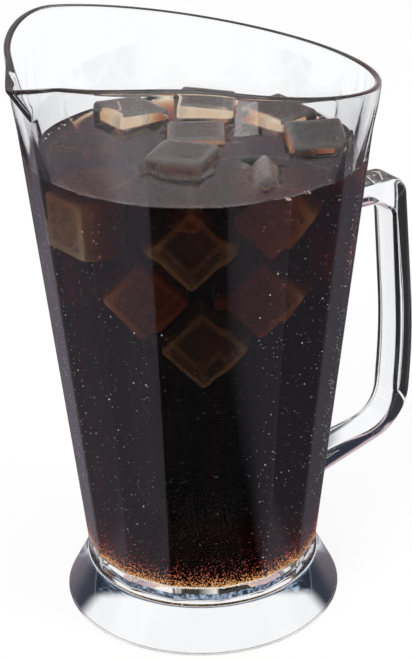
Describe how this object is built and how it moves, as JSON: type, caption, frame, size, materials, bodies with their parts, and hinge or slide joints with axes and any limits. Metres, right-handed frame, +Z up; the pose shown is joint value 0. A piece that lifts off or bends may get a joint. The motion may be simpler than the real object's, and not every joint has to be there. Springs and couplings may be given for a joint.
{
  "type": "beer pitcher",
  "caption": "Clear plastic serving pitcher with panelled sides, a raised lip with a keeled spout, a hollow flared foot and a D-shaped handle, holding a dark drink and ice cubes.",
  "frame": {"origin": "on the vessel's axis, in the plane that the foot stands on", "axes": "+Z up along the vessel's axis; +X towards the handle, so the spout points to -X; +Y completes a right-handed frame"},
  "size_m": [0.1753, 0.1376, 0.234],
  "materials": {
    "clear_plastic": "clear, polished",
    "drink": "dark brown transparent liquid",
    "ice": "clear ice, partly cloudy"
  },
  "bodies": {
    "root": {"vessel": "clear_plastic", "foot": "clear_plastic", "handle": "clear_plastic", "drink": "drink", "ice_01": "ice", "ice_02": "ice", "ice_03": "ice", "ice_04": "ice", "ice_05": "ice", "ice_06": "ice", "ice_07": "ice", "ice_08": "ice", "ice_09": "ice", "ice_10": "ice", "ice_11": "ice", "ice_12": "ice", "ice_13": "ice", "ice_14": "ice", "ice_15": "ice", "ice_16": "ice"}
  },
  "joints": []
}
